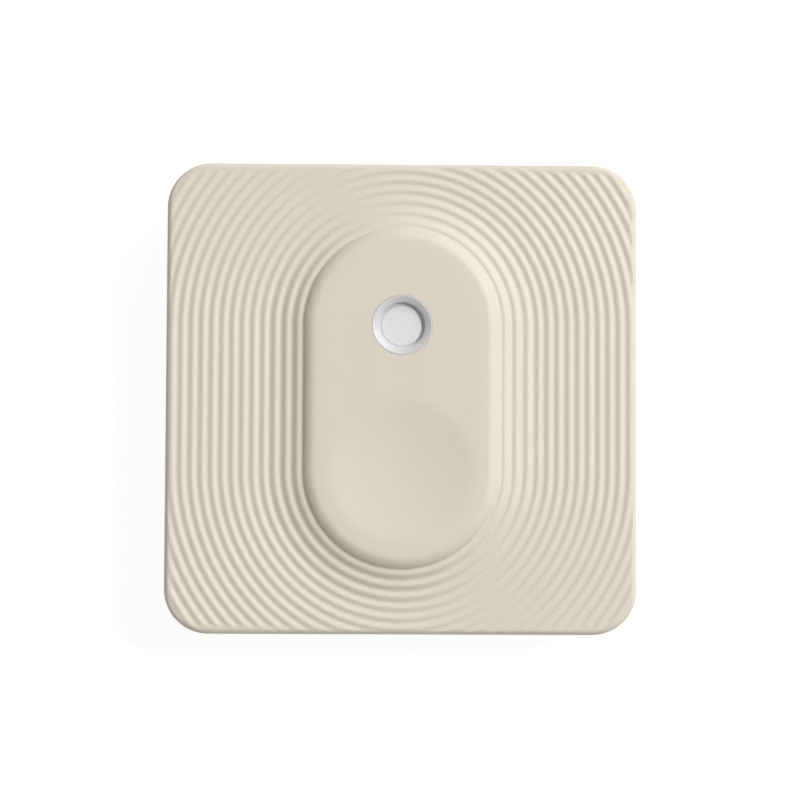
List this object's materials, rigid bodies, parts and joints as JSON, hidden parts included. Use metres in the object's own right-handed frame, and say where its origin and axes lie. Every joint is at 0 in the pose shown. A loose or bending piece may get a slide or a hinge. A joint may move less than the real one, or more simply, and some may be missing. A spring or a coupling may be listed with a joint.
{
  "type": "temperature humidity sensor",
  "caption": "Square stick-on temperature and humidity sensor with a ribbed front, a raised pill-shaped plinth, a recessed button in a light ring and a pull-off rear cover.",
  "frame": {"origin": "centre of the adhesive pad's underside, on the wall or table that the sensor lies on", "axes": "+Z points out of the ribbed front, +Y towards the button's end of the plinth, +X to the right as seen from the front"},
  "size_m": [0.036, 0.036, 0.0096],
  "materials": {
    "ivory_shell": "fine matte moulding texture",
    "ivory_cover": "fine matte moulding texture",
    "ring_white": "translucent, satin",
    "button_grey": "satin",
    "foam_tape": "closed-cell foam",
    "foam_seal": "open foam",
    "board_laminate": "solder mask",
    "black_moulding": "moulded, matte",
    "package_epoxy": "moulded epoxy, matte",
    "spring_steel": "rolled sheet",
    "screw_steel": "zinc plated",
    "crystal_lid": "nickel plated",
    "cell_steel": "nickel plated",
    "gasket_plastic": "moulded",
    "cathode_mix": "pressed powder",
    "separator_felt": "felt",
    "anode_metal": "soft foil",
    "chip_ceramic": "sintered",
    "capacitor_ceramic": "sintered, tinned ends",
    "resistor_ceramic": "glazed, tinned ends",
    "ferrite": "sintered, tinned ends",
    "light_resin": "clear resin over phosphor",
    "membrane_film": "porous film"
  },
  "bodies": {
    "base": {"rear_cover": "ivory_cover", "adhesive_pad": "foam_tape"},
    "housing": {"front_shell": "ivory_shell", "light_ring": "ring_white", "main_board": "board_laminate", "board_screws": "screw_steel", "battery_holder": "black_moulding", "positive_contact": "spring_steel", "negative_contact": "spring_steel", "status_lights": "light_resin", "switch_base": "black_moulding", "switch_frame": "spring_steel", "switch_dome": "spring_steel", "switch_terminals": "spring_steel", "humidity_sensor": "package_epoxy", "sensor_membrane": "membrane_film", "sensor_seal": "foam_seal", "radio_chip": "package_epoxy", "main_crystal": "crystal_lid", "clock_crystal": "crystal_lid", "chip_antenna": "chip_ceramic", "inductor": "ferrite", "capacitors": "capacitor_ceramic", "resistors": "resistor_ceramic"},
    "button": {"button_cap": "button_grey"},
    "plunger": {"switch_plunger": "black_moulding"},
    "cell": {"cell_can": "cell_steel", "cell_gasket": "gasket_plastic", "cell_cap": "cell_steel", "cell_cathode": "cathode_mix", "cell_separator": "separator_felt", "cell_anode": "anode_metal"}
  },
  "joints": [
    {"name": "housing_lift", "type": "slide", "parent": "base", "child": "housing", "axis": [0, 0, 1], "range_m": [0, 0.012]},
    {"name": "button_press", "type": "slide", "parent": "housing", "child": "button", "axis": [0, 0, -1], "range_m": [0, 0.00025], "stiffness_N_per_m": 4000},
    {"name": "plunger_press", "type": "slide", "parent": "housing", "child": "plunger", "axis": [0, 0, -1], "range_m": [0, 0.00025], "stiffness_N_per_m": 100, "deforming": ["switch_dome"]},
    {"name": "cell_release", "type": "slide", "parent": "housing", "child": "cell", "axis": [0, 0, -1], "range_m": [0, 0.0048]}
  ],
  "couplings": [
    {"joint": "plunger_press", "follows": "button_press", "ratio": 1},
    {"joint": "cell_release", "follows": "housing_lift", "ratio": 0.4}
  ]
}
